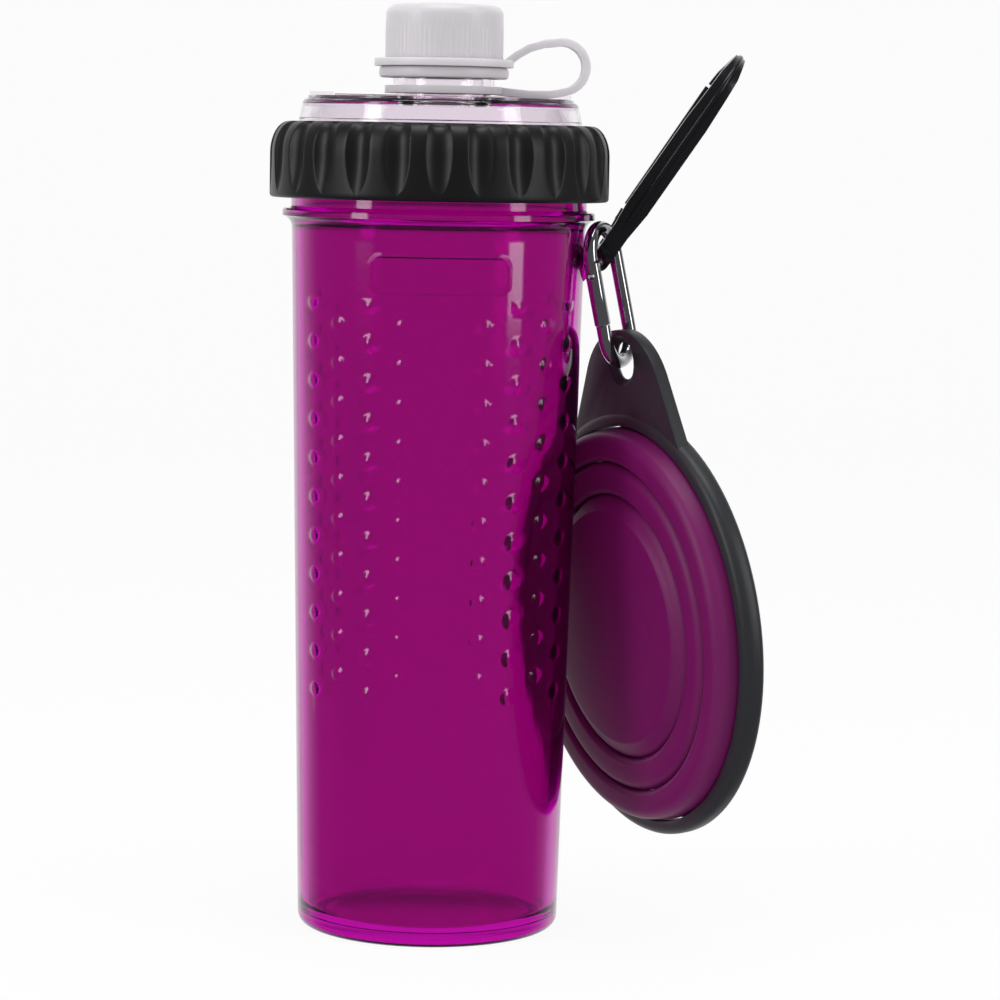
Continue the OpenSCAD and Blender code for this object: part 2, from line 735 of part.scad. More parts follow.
module bowl_rim() {
    color(black_pp) difference() {
        union() {
            at_bowl_centre() rotate_extrude() polygon(concat(
                [[bowl_wall_r, rim_low], [rim_r - 2, rim_low]],
                arc([rim_r - 2, rim_low + 2], 2, -90, 0, 5),
                arc([rim_r - 2.4, rim_top - 2.4], 2.4, 0, 90, 5),
                [[bowl_wall_r, rim_top]]));
            at_bowl() translate([0, 0, -tab_t / 2]) linear_extrude(tab_t) difference() {
                hull() {
                    translate([0, 8.2 - tab_r]) circle(r = tab_r, $fn = 64);
                    translate([0, -hang_len + 36]) square([64, 8], center = true);
                }
                translate([0, -hang_len]) circle(r = bowl_wall_r);
            }
        }
        // the hole flares to both faces, so the carabiner can stand slantwise in it
        at_bowl() {
            cylinder(r = tab_hole_r, h = 20, center = true);
            for (s = [0, 180]) rotate([s, 0, 0]) translate([0, 0, 0.3])
                cylinder(r1 = tab_hole_r, r2 = tab_hole_r + 1.8, h = tab_t / 2 - 0.25);
        }
    }
}

module bowl_outer_wall() {
    color(magenta_matt) at_bowl_centre() {
        stage(bowl_wall_r, bowl_wall_r - 0.8, middle_r + gap, rim_low + 0.5, stage_top);
    }
}

module bowl_middle_wall() {
    color(magenta_matt) at_bowl_centre() {
        stage(middle_r, middle_r, base_r + gap, lip_low, stage_top + 0.4);
        stage_lip(middle_r, lip_low);
    }
}

module bowl_base() {
    color(magenta_matt) at_bowl_centre() {
        stage(base_r, base_r, base_disc_r - 2, lip_low, stage_top);
        stage_lip(base_r, lip_low);
        translate([0, 0, stage_top - silicone_t]) cylinder(r = base_disc_r, h = silicone_t);
        // the flat base that the bowl stands on is raised a little
        translate([0, 0, stage_top - 0.4]) cylinder(r = base_disc_r, h = 1.5);
        translate([0, 0, stage_top + 1]) cylinder(r1 = base_disc_r, r2 = base_disc_r - 1, h = 0.5);
    }
}

bottle_body();
neck_seal();
lid_shell();
lid_door();
door_hinge_pin();
door_seal();
screw_collar();
spout_cap();
cap_liner();
cap_strap();
clip_frame();
clip_gate();
clip_gate_pin();
clip_gate_spring();
clip_hinge_pin();
clip_pin_washer();
carabiner_frame();
carabiner_gate();
carabiner_rivet();
carabiner_spring();
bowl_rim();
bowl_outer_wall();
bowl_middle_wall();
bowl_base();
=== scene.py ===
"""A dog's travel water bottle with a folding bowl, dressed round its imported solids.

The bottle stands on z = 0 with its axis on Z, its spout toward -Y, and its carry clip,
carabiner and bowl on the +X side. Turned profiles are in millimetres and become metres by
MM where their mesh is made. Properties, CLIP_PIVOT, the lug and the stage are in metres.
"""

import math

import bmesh
import bpy
from mathutils import Matrix, Vector


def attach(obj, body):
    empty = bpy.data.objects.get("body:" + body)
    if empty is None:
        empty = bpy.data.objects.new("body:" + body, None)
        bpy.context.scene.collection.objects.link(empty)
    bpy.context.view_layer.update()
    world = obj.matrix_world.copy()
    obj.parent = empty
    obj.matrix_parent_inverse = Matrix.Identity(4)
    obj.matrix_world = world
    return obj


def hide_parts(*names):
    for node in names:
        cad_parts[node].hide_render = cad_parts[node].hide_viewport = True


bl_info = {
    "name": "Dog travel water bottle",
    "version": (1, 0, 0),
    "blender": (4, 5, 0),
    "location": "3D View > Sidebar > Water Bottle",
    "description": "Builds a travel water bottle with a screw collar and a folding bowl",
    "category": "Add Mesh",
}

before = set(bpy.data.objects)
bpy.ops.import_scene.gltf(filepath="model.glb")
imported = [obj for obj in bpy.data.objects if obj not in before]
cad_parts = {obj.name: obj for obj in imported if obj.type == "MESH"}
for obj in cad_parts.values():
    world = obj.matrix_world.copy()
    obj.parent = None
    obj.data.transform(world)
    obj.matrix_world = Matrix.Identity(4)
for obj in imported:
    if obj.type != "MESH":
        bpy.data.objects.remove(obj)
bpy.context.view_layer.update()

MM = 0.001
DOT_COLUMNS = 24
FRONT_COLUMN = math.radians(-86)  # the column of dots next to the middle of the front
FLUTE_START = math.radians(-89.2)  # the middle of the flute in front
SPOUT_TURN = math.radians(3.3)  # how far the spout stands round from the front
SPOUT_OUT = 17.5  # millimetres from the bottle's axis to the spout's
CLIP_PIVOT = Vector((0.0423, 0, 0.1774))
CLIP_LEAN = math.radians(-56.3)


# ------------------------------------------------------------------ helpers


def linear(hex_text):
    """sRGB hex text to a linear colour, as Blender's sockets take it."""
    parts = [int(hex_text[i:i + 2], 16) / 255 for i in (1, 3, 5)]
    return tuple(
        p / 12.92 if p <= 0.04045 else ((p + 0.055) / 1.055) ** 2.4 for p in parts
    ) + (1.0,)


def add(tree, kind, inputs=None, **settings):
    """Adds one node, with its settings, and with a value or a link for each input."""
    node = tree.nodes.new(kind)
    for name, value in settings.items():
        setattr(node, name, value)
    for key, value in (inputs or {}).items():
        if isinstance(value, bpy.types.NodeSocket):
            tree.links.new(value, node.inputs[key])
        else:
            node.inputs[key].default_value = value
    return node


def arc(cx, cz, radius, start, end, steps=8):
    """Points of a circle's arc in the profile plane, from start to end in degrees."""
    return [
        (
            cx + radius * math.cos(math.radians(start + (end - start) * i / steps)),
            cz + radius * math.sin(math.radians(start + (end - start) * i / steps)),
        )
        for i in range(steps + 1)
    ]


def piece(name, verts, faces, smooth_angle=35):
    """A mesh object at the origin, with faces out and smooth shading up to an angle."""
    mesh = bpy.data.meshes.new(name)
    mesh.from_pydata([Vector(v) for v in verts], [], faces)
    bm = bmesh.new()
    bm.from_mesh(mesh)
    bmesh.ops.remove_doubles(bm, verts=bm.verts, dist=1e-7)
    bmesh.ops.recalc_face_normals(bm, faces=bm.faces)
    bm.to_mesh(mesh)
    bm.free()
    mesh.shade_smooth()
    mesh.set_sharp_from_angle(angle=math.radians(smooth_angle))
    obj = bpy.data.objects.new(name, mesh)
    bpy.context.scene.collection.objects.link(obj)
    return obj


def lathe(name, profile, angles, smooth_angle=35):
    """Turns a closed (radius, z) profile in millimetres round the Z axis."""
    verts, faces = [], []
    count = len(angles)
    for radius, z in profile:
        for a in angles:
            verts.append((radius * MM * math.cos(a), radius * MM * math.sin(a), z * MM))
    for i in range(len(profile)):
        j = (i + 1) % len(profile)
        if profile[i][0] == 0 and profile[j][0] == 0:
            continue
        for k in range(count):
            m = (k + 1) % count
            faces.append((i * count + k, i * count + m, j * count + m, j * count + k))
    return piece(name, verts, faces, smooth_angle)


def finished(obj):
    """Replaces an object's mesh by what its modifiers make of it."""
    depsgraph = bpy.context.evaluated_depsgraph_get()
    made = bpy.data.meshes.new_from_object(obj.evaluated_get(depsgraph))
    made.name = obj.name
    obj.modifiers.clear()
    obj.data = made
    return obj


def coat(obj, material):
    """Leaves an object with this one finish."""
    obj.data.materials.clear()
    obj.data.materials.append(material)


def round_edges(obj, width, segments, angle=None):
    """A live bevel on the edges sharper than an angle."""
    bevel = obj.modifiers.new("edges", "BEVEL")
    bevel.width = width
    bevel.segments = segments
    bevel.limit_method = "ANGLE"
    if angle is not None:
        bevel.angle_limit = angle
        bevel.harden_normals = True


def dressed(node, bevel_mm, material, body, segments=2):
    """A copy of a CAD node with its edges rounded as moulding or tumbling leaves them."""
    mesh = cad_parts[node].data.copy()
    obj = bpy.data.objects.new(node + "_finished", mesh)
    bpy.context.scene.collection.objects.link(obj)
    bm = bmesh.new()
    bm.from_mesh(mesh)
    bmesh.ops.remove_doubles(bm, verts=bm.verts, dist=2e-6)
    bmesh.ops.dissolve_limit(
        bm, angle_limit=math.radians(0.4), verts=bm.verts, edges=bm.edges, delimit=set()
    )
    bm.to_mesh(mesh)
    bm.free()
    mesh.shade_smooth()
    round_edges(obj, bevel_mm * MM, segments, math.radians(28))
    finished(obj)
    coat(obj, material)
    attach(obj, body)
    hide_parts(node)


def keep(node, material):
    """Gives a CAD node that stays as it is its finish."""
    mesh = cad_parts[node].data
    if not mesh.materials:
        mesh.materials.append(material)
    for i in range(len(mesh.materials)):
        mesh.materials[i] = material


# ------------------------------------------------------------------ materials


def new_material(name):
    """An empty material and its node tree."""
    material = bpy.data.materials.new(name)
    material.use_nodes = True
    tree = material.node_tree
    tree.nodes.clear()
    return material, tree


def moulded(name, hex_text, roughness, grain_mm, bump, **shader):
    """A moulded or cast surface: one colour, with the grain its tool or die left."""
    material, tree = new_material(name)
    place = add(tree, "ShaderNodeTexCoord")
    grain = add(tree, "ShaderNodeTexNoise", {
        "Vector": place.outputs["Object"], "Scale": 1 / (grain_mm * MM), "Detail": 3.0})
    broad = add(tree, "ShaderNodeTexNoise", {
        "Vector": place.outputs["Object"], "Scale": 1 / (26 * MM), "Detail": 2.0})
    relief = add(tree, "ShaderNodeBump", {
        "Height": grain.outputs["Fac"], "Strength": bump, "Distance": 0.05 * MM})
    base = linear(hex_text)
    tone = add(tree, "ShaderNodeMix", {
        "Factor": broad.outputs["Fac"],
        "A": tuple(c * 0.94 for c in base[:3]) + (1.0,),
        "B": tuple(min(1.0, c * 1.06) for c in base[:3]) + (1.0,)},
        data_type="RGBA")
    # the grain also scatters the gloss a little
    gloss = add(tree, "ShaderNodeMapRange", {
        "Value": grain.outputs["Fac"], "To Min": max(0.0, roughness - 0.05),
        "To Max": min(1.0, roughness + 0.05)})
    surface = add(tree, "ShaderNodeBsdfPrincipled", {
        "Base Color": tone.outputs["Result"], "Roughness": gloss.outputs["Result"],
        "Normal": relief.outputs["Normal"], **shader})
    add(tree, "ShaderNodeOutputMaterial", {"Surface": surface.outputs["BSDF"]})
    return material


def tinted_clear(name, hex_text, ior, roughness, flow_mm, bump, **shader):
    """A clear injection moulding: tinted right through, with faint flow marks."""
    material, tree = new_material(name)
    place = add(tree, "ShaderNodeTexCoord")
    flow = add(tree, "ShaderNodeTexNoise", {
        "Vector": place.outputs["Object"], "Scale": 1 / (flow_mm * MM), "Detail": 1.0})
    relief = add(tree, "ShaderNodeBump", {
        "Height": flow.outputs["Fac"], "Strength": bump, "Distance": 0.2 * MM})
    surface = add(tree, "ShaderNodeBsdfPrincipled", {
        "Base Color": linear(hex_text), "Roughness": roughness, "IOR": ior,
        "Transmission Weight": 1.0, "Normal": relief.outputs["Normal"], **shader})
    add(tree, "ShaderNodeOutputMaterial", {"Surface": surface.outputs["BSDF"]})
    return material


FINISH = {}


def make_finishes():
    """Fills FINISH with one material for each finish of the bottle."""
    colours = bpy.context.scene.bottle_colours
    # Copolyester, injection blow moulded: the tint deepens where the eye looks along it
    FINISH["body"] = tinted_clear(
        "Tinted_copolyester_moulded", colours.body, 1.54, 0.08, 9, 0.08,
        **{"Specular IOR Level": 0.2})
    # Polypropylene off a spark-eroded tool: an even satin black
    FINISH["collar"] = moulded(
        "Black_polypropylene_textured", colours.collar, 0.4, 0.35, 0.2,
        **{"Specular IOR Level": 0.42})
    # Clear copolyester lid: water white with a breath of violet
    FINISH["lid"] = tinted_clear(
        "Clear_copolyester_moulded", colours.lid, 1.54, 0.05, 9, 0.02)
    FINISH["door"] = tinted_clear(
        "Rose_copolyester_moulded", colours.door, 1.5, 0.15, 9, 0.03)
    # Low density polyethylene: milky, the light goes in and spreads
    FINISH["cap"] = moulded(
        "Milky_polyethylene_moulded", colours.cap, 0.32, 0.6, 0.08,
        **{"Subsurface Weight": 0.5, "Subsurface Radius": (0.004, 0.0038, 0.004),
           "Subsurface Scale": 1.0})
    FINISH["strap"] = moulded(
        "Milky_elastomer_moulded", colours.cap, 0.38, 0.5, 0.1,
        **{"Subsurface Weight": 0.6, "Subsurface Radius": (0.003, 0.003, 0.003),
           "Subsurface Scale": 1.0})
    # Glass-filled nylon: dark satin with a waxy sheen
    FINISH["clip"] = moulded(
        "Black_nylon_moulded", colours.clip, 0.26, 0.4, 0.1, **{"Specular IOR Level": 0.45})
    FINISH["rim"] = moulded(
        "Charcoal_polypropylene_moulded", colours.rim, 0.4, 0.4, 0.2,
        **{"Specular IOR Level": 0.4})
    # Silicone rubber: soft violet bloom over magenta
    FINISH["bowl"] = moulded(
        "Silicone_rubber_moulded", colours.bowl, 0.45, 0.45, 0.25,
        **{"Specular IOR Level": 0.35, "Sheen Weight": 0.06, "Sheen Roughness": 0.45,
           "Sheen Tint": linear("#D9A6E6")})
    FINISH["seal"] = moulded("White_silicone_moulded", "#E6E6E6", 0.5, 0.5, 0.1)
    # Chromed steel wire, drawn and polished: hard contrasts of white and dark
    FINISH["chrome"] = moulded(
        "Chromed_steel_polished", "#C4C4C9", 0.1, 0.8, 0.03, **{"Metallic": 1.0})
    FINISH["steel"] = moulded(
        "Stainless_steel_turned", "#A9A9AD", 0.28, 0.3, 0.1, **{"Metallic": 1.0})


# ------------------------------------------------------------------ sizes


def length(name, description, default_mm):
    """A length property, its default given in millimetres."""
    return bpy.props.FloatProperty(
        name=name, description=description, default=default_mm * MM, unit="LENGTH",
        subtype="DISTANCE", min=0.0)


class BottleSizes(bpy.types.PropertyGroup):
    """Sizes of the bottle's dressed pieces"""

    foot_radius: length("Foot radius", "Outer radius above the heel", 34.7)
    shoulder_radius: length("Shoulder radius", "Outer radius under the flange", 38.6)
    wall: length("Wall", "Thickness of the bottle's wall", 3.0)
    dot_radius: length("Dot radius", "Radius of a grip dot", 2.05)
    dot_height: length("Dot height", "How far a grip dot stands out", 0.5)
    dot_pitch: length("Dot pitch", "Distance between dots of one column", 10.1)
    dot_low: length("Lowest dot", "Height of the lowest dot of a full column", 65.4)
    dot_rows: bpy.props.IntProperty(
        name="Dot rows", description="Dots in a full column", default=11, min=2)
    plate_width: length("Plate width", "Width of the blank plate's frame", 36.8)
    plate_height: length("Plate height", "Height of the blank plate's frame", 9.2)
    plate_proud: length("Plate relief", "How far the plate's frame stands out", 0.34)
    collar_radius: length("Collar radius", "Outer radius of the screw collar", 44.55)
    flute_width: length("Flute width", "Width of a finger flute", 6.9)
    flute_depth: length("Flute depth", "Depth of a finger flute", 1.5)
    flutes: bpy.props.IntProperty(
        name="Flutes", description="Finger flutes round the collar", default=26, min=3)
    cap_ribs: bpy.props.IntProperty(
        name="Cap ribs", description="Fine ribs round the spout cap", default=72, min=3)
    cap_rib_depth: length("Cap rib depth", "Depth of the cap's fine ribs", 0.14)


class BottleColours(bpy.types.PropertyGroup):
    """Colours of the finishes, as sRGB hex text"""

    body: bpy.props.StringProperty(
        name="Body", description="Tint of the body", default="#BF00A6")
    collar: bpy.props.StringProperty(
        name="Collar", description="Screw collar", default="#121215")
    lid: bpy.props.StringProperty(name="Lid", description="Clear lid", default="#F4EEF4")
    door: bpy.props.StringProperty(name="Door", description="Fill door", default="#EBD2E6")
    cap: bpy.props.StringProperty(
        name="Cap and strap", description="Milky plastic", default="#D8D4D9")
    clip: bpy.props.StringProperty(
        name="Clip", description="Carry clip", default="#16161A")
    rim: bpy.props.StringProperty(
        name="Rim", description="Bowl rim and tab", default="#2E2F33")
    bowl: bpy.props.StringProperty(
        name="Bowl", description="Silicone", default="#74085C")


# ------------------------------------------------------------------ relief


def relief_start(name, inputs):
    """A node tree that takes geometry and a number for each named input."""
    tree = bpy.data.node_groups.new(name, "GeometryNodeTree")
    face = tree.interface
    face.new_socket("Geometry", in_out="INPUT", socket_type="NodeSocketGeometry")
    for socket in inputs:
        face.new_socket(socket, in_out="INPUT", socket_type="NodeSocketFloat")
    face.new_socket("Geometry", in_out="OUTPUT", socket_type="NodeSocketGeometry")
    return tree, add(tree, "NodeGroupInput").outputs


def relief_end(tree, geometry, outward, rise, material):
    """Moves the points outward by their rise and ends the tree in plain geometry."""
    shift = add(tree, "ShaderNodeVectorMath", {0: outward, "Scale": rise}, operation="SCALE")
    moved = add(tree, "GeometryNodeSetPosition", {
        "Geometry": geometry, "Offset": shift.outputs[0]})
    real = add(tree, "GeometryNodeRealizeInstances", {"Geometry": moved.outputs[0]})
    done = add(tree, "GeometryNodeSetMaterial", {
        "Geometry": real.outputs[0], "Material": material})
    add(tree, "NodeGroupOutput", {"Geometry": done.outputs[0]})


def raised(obj, tree, values):
    """Raises an object's relief by a tree, with a value for each named input."""
    relief = obj.modifiers.new(tree.name, "NODES")
    relief.node_group = tree
    for item in tree.interface.items_tree:
        if item.in_out == "INPUT" and item.name in values:
            relief[item.identifier] = values[item.name]
    return finished(obj)


# ------------------------------------------------------------------ bottle


def dots_tree(material):
    """Node tree that raises staggered columns of round dots on a turned wall."""
    tree, source = relief_start("grip_dots", (
        "Columns", "Rows", "Pitch", "Lowest", "Dot Radius", "Dot Height", "Turn"))

    def calc(operation, a, b=0.0, c=0.0):
        node = add(tree, "ShaderNodeMath", {0: a, 1: b, 2: c}, operation=operation)
        return node.outputs[0]

    where = add(tree, "GeometryNodeInputPosition").outputs[0]
    x, y, z = add(tree, "ShaderNodeSeparateXYZ", {0: where}).outputs
    radius = calc("SQRT", calc("ADD", calc("MULTIPLY", x, x), calc("MULTIPLY", y, y)))
    turned = calc("SUBTRACT", calc("ARCTAN2", y, x), source["Turn"])
    column = calc("MULTIPLY", calc("DIVIDE", turned, 2 * math.pi), source["Columns"])
    nearest = calc("ROUND", column)
    arc_step = calc("DIVIDE", calc("MULTIPLY", radius, 2 * math.pi), source["Columns"])
    across = calc("MULTIPLY", calc("SUBTRACT", column, nearest), arc_step)
    odd = calc("ABSOLUTE", calc("MODULO", nearest, 2.0))
    start = calc("MULTIPLY_ADD", calc("MULTIPLY", odd, 0.5), source["Pitch"], source["Lowest"])
    row = calc("DIVIDE", calc("SUBTRACT", z, start), source["Pitch"])
    last = calc("SUBTRACT", calc("SUBTRACT", source["Rows"], 1.0), odd)
    row_near = calc("MINIMUM", calc("MAXIMUM", calc("ROUND", row), 0.0), last)
    along = calc("MULTIPLY", calc("SUBTRACT", row, row_near), source["Pitch"])
    off = calc("SQRT", calc("ADD", calc("MULTIPLY", across, across),
                            calc("MULTIPLY", along, along)))
    share = calc("DIVIDE", off, source["Dot Radius"])
    dome = calc("SQRT", calc("MAXIMUM", calc("SUBTRACT", 1.0, calc("MULTIPLY", share, share)),
                             0.0))
    outer = add(tree, "GeometryNodeInputNamedAttribute", {"Name": "outer"},
                data_type="FLOAT").outputs["Attribute"]
    # three columns on each side stay smooth: dots are on the front and the back only
    aside = calc("ABSOLUTE", calc("SUBTRACT", calc("ABSOLUTE", nearest), 6.0))
    gripped = calc("GREATER_THAN", aside, 1.5)
    rise = calc("MULTIPLY", calc("MULTIPLY", dome, source["Dot Height"]),
                calc("MULTIPLY", outer, gripped))
    unit = add(tree, "ShaderNodeCombineXYZ", {
        0: calc("DIVIDE", x, radius), 1: calc("DIVIDE", y, radius)}).outputs[0]
    relief_end(tree, source["Geometry"], unit, rise, material)
    return tree


def wall_radius(sizes, z):
    """Outer radius of the tapered wall at a height, in metres."""
    heel, shoulder = 0.003, 0.1852
    share = (z - heel) / (shoulder - heel)
    return sizes.foot_radius + (sizes.shoulder_radius - sizes.foot_radius) * share


class BOTTLE_OT_body(bpy.types.Operator):
    """Blown body with its drip flange, threaded neck, grip dots and blank plate"""

    bl_idname = "bottle.body"
    bl_label = "Body"

    def execute(self, context):
        sizes = context.scene.bottle_sizes
        foot, top, wall = (v / MM for v in (sizes.foot_radius, sizes.shoulder_radius,
                                            sizes.wall))
        # rings gather where the dots' domes need them
        steps = (-2.1, -1.75, -1.2, -0.45, 0.45, 1.2, 1.75, 2.1)
        low, pitch = sizes.dot_low / MM, sizes.dot_pitch / MM
        levels = [low + pitch / 2 * row + s for row in range(2 * sizes.dot_rows - 1)
                  for s in steps]
        plate_at = (1.4, 174.4)
        half_w, half_h = sizes.plate_width / 2 / MM, sizes.plate_height / 2 / MM
        bars = [0.25 * i - 0.75 for i in range(7)]
        fine = [plate_at[1] + side * half_h + b for side in (-1, 1) for b in bars]
        fine += [plate_at[1] - 3.4 + 0.4 * i for i in range(18)]
        levels = [z for z in levels if z < min(fine) - 0.3] + fine
        # plain rings below the dots, and above the plate's frame
        levels = sorted([22, 34, 46, 56, 180.05, 180.4, 182] + levels)
        outer = [(wall_radius(sizes, z * MM) / MM, z) for z in levels]
        ridges = []
        for i in range(3):
            z = 195.7 + 4 * i
            ridges += [(38.9, z - 1.2), (40.1, z - 0.4), (40.1, z + 0.4), (38.9, z + 1.2)]
        profile = (
            [(0, 1.2), (foot - 8, 1.2), (foot - 6.5, 0.25), (foot - 5.5, 0)]
            + arc(foot - 3, 3, 3, -90, 0, 7) + outer + [(top, 185.2)]
            + arc(42.0, 184.9, 3.4, 172, 104, 7)
            + [(41.1, 188.9), (41.1, 189.7), (40.7, 190.1), (39.4, 190.1), (38.9, 190.7)]
            + ridges + [(38.9, 207.6), (38.2, 208.3), (36.5, 208.3), (35.9, 207.7)]
            + [(35.9, 184.7), (top - wall, 179.2), (top - wall - 1.7, 100),
               (foot - wall + 0.1, 9.4)]
            + arc(foot - wall - 4, 7.4, 4, 0, -90, 8) + [(0, 3.4)]
        )
        offsets = (-2.1, -1.7, -1.15, -0.42, 0.42, 1.15, 1.7, 2.1, 3.6, 5.9)
        step = 2 * math.pi / DOT_COLUMNS
        dot_wall, plate_wall = 36.8, 38.3  # radii of the wall behind the dots and the plate
        angles = [FRONT_COLUMN + step * k + o / dot_wall
                  for k in range(DOT_COLUMNS) for o in offsets]
        # the plate's upright bars and corners need columns of their own
        middle = plate_at[0] / plate_wall - math.pi / 2
        bars += [-1.3, -1.9, -2.5, -3.1]
        angles += [middle + side * (half_w + b) / plate_wall for side in (-1, 1) for b in bars]
        angles = sorted(a % (2 * math.pi) for a in angles)
        angles = [a for i, a in enumerate(angles) if i == 0 or a - angles[i - 1] > 0.0015]
        obj = lathe("bottle_shell", profile, angles, 24)
        mark = obj.data.attributes.new("outer", "FLOAT", "POINT")
        dots_from, dots_to, plate_from = 0.06, 0.1675, 0.168
        corner, bar = 3, 0.55  # the frame's corner radius and half its bar's width
        for i, vertex in enumerate(obj.data.vertices):
            z = vertex.co.z
            near = abs(vertex.co.xy.length - wall_radius(sizes, z)) < 0.0004
            mark.data[i].value = 1.0 if near and dots_from < z < dots_to else 0.0
            if near and z > plate_from and vertex.co.y < 0:
                turn = math.atan2(vertex.co.y, vertex.co.x) - middle
                side_x = abs(turn * wall_radius(sizes, z) / MM) - half_w + corner
                side_z = abs(z / MM - plate_at[1]) - half_h + corner
                off = math.hypot(max(side_x, 0), max(side_z, 0)) - corner
                off += min(max(side_x, side_z), 0)
                rise = sizes.plate_proud * max(0.0, 1 - (off / bar) ** 2)
                vertex.co.xy *= 1 + rise / vertex.co.xy.length
        raised(obj, dots_tree(FINISH["body"]), {
            "Columns": float(DOT_COLUMNS), "Rows": float(sizes.dot_rows),
            "Pitch": sizes.dot_pitch, "Lowest": sizes.dot_low,
            "Dot Radius": sizes.dot_radius, "Dot Height": sizes.dot_height,
            "Turn": FRONT_COLUMN})
        coat(obj, FINISH["body"])
        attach(obj, "bottle")
        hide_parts("bottle_body")
        return {"FINISHED"}


class BOTTLE_OT_lug(bpy.types.Operator):
    """Moulded lug that carries the clip's hinge pin"""

    bl_idname = "bottle.lug"
    bl_label = "Clip lug"

    def execute(self, context):
        boss, half = 2.4 * MM, 2.8 * MM
        outline = [(0.0374, 0.1714), (0.0417, 0.17505)]
        outline += [(CLIP_PIVOT.x + boss * math.cos(math.radians(a)),
                     CLIP_PIVOT.z + boss * math.sin(math.radians(a)))
                    for a in range(-90, 91, 15)]
        outline += [(0.0417, 0.17975), (0.0374, 0.1814)]
        verts = [(x, -half, z) for x, z in outline] + [(x, half, z) for x, z in outline]
        count = len(outline)
        faces = [tuple(range(count)), tuple(range(2 * count - 1, count - 1, -1))]
        faces += [(i, (i + 1) % count, (i + 1) % count + count, i + count)
                  for i in range(count)]
        obj = piece("clip_lug", verts, faces)
        round_edges(obj, 0.3 * MM, 3)
        finished(obj)
        coat(obj, FINISH["body"])
        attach(obj, "bottle")
        return {"FINISHED"}


# ------------------------------------------------------------------ other pieces


class BOTTLE_OT_collar(bpy.types.Operator):
    """Screw collar with finger flutes that run out above its lower edge"""

    bl_idname = "bottle.collar"
    bl_label = "Screw collar"

    def execute(self, context):
        sizes = context.scene.bottle_sizes
        radius = sizes.collar_radius / MM
        low, top, bore, lip = 192.9, 212.7, 40.7, 37.35
        foot_round, deep_in, deep_down = 0.9, 4.9, 8.2  # the foot's and the shoulder's rounding
        # outside from the foot up: place, outward direction, and share of a flute's width
        outside = []
        for a in (-90, -60, -30, 0):
            turn = math.radians(a)
            outside.append((radius - foot_round + foot_round * math.cos(turn),
                            low + foot_round + foot_round * math.sin(turn),
                            math.cos(turn), math.sin(turn), 0.0))
        foot, full = low + 1.5, low + 12.5
        for i in range(1, 15):
            z = foot + (top - deep_down - foot) * (i / 14) ** 1.4
            left = max(0.0, (full - z) / (full - foot))
            share = math.sqrt(max(0.0, 1 - left ** 2))
            outside.append((radius, z, 1.0, 0.0, share))
        for a in range(8, 89, 8):
            turn = math.radians(a)
            normal = Vector((math.cos(turn) / deep_in, math.sin(turn) / deep_down))
            normal.normalize()
            outside.append((radius - deep_in * (1 - math.cos(turn)),
                            top - deep_down * (1 - math.sin(turn)), normal.x, normal.y,
                            1 - 0.35 * (a / 88) ** 2))
        outside.append((radius - 5.1, top, 0.0, 1.0, 0.0))
        inside = [(lip + 0.4, top), (lip, top - 0.4), (lip, top - 1.5), (bore, top - 1.5),
                  (bore, low + 0.5), (bore + 0.5, low)]
        across = (-1.06, -0.98, -0.88, -0.65, -0.35, 0, 0.35, 0.65, 0.88, 0.98, 1.06)
        pitch = 2 * math.pi / sizes.flutes
        half = sizes.flute_width / 2 / MM
        verts, count = [], sizes.flutes * (len(across) + 3)
        for r, z, out_r, out_z, share in outside:
            wide = max(half * share, 0.12)
            deep = sizes.flute_depth / MM * share ** 2
            for k in range(sizes.flutes):
                middle = FLUTE_START + pitch * k
                edge = 1.06 * wide / r
                land = pitch - 2 * edge
                places = [(s * wide / r, max(0.0, 1 - s * s)) for s in across]
                places += [(edge + land * i / 4, 0.0) for i in (1, 2, 3)]
                for turn, dip in places:
                    in_by = deep * dip
                    rr, zz = r - out_r * in_by, z - out_z * in_by
                    verts.append((rr * MM * math.cos(middle + turn),
                                  rr * MM * math.sin(middle + turn), zz * MM))
        for r, z in inside:
            for k in range(count):
                a = FLUTE_START + 2 * math.pi * k / count
                verts.append((r * MM * math.cos(a), r * MM * math.sin(a), z * MM))
        rings = len(outside) + len(inside)
        faces = []
        for i in range(rings):
            j = (i + 1) % rings
            faces += [(i * count + k, i * count + (k + 1) % count,
                       j * count + (k + 1) % count, j * count + k) for k in range(count)]
        obj = piece("screw_collar_fluted", verts, faces, 50)
        obj.data.materials.append(FINISH["collar"])
        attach(obj, "collar")
        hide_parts("screw_collar")
        return {"FINISHED"}


class BOTTLE_OT_lid(bpy.types.Operator):
    """Clear lid, its fill door and their seals"""

    bl_idname = "bottle.lid"
    bl_label = "Lid and door"

    def execute(self, context):
        keep("lid_shell", FINISH["lid"])
        keep("lid_door", FINISH["door"])
        keep("door_hinge_pin", FINISH["steel"])
        keep("door_seal", FINISH["seal"])
        keep("neck_seal", FINISH["seal"])
        return {"FINISHED"}


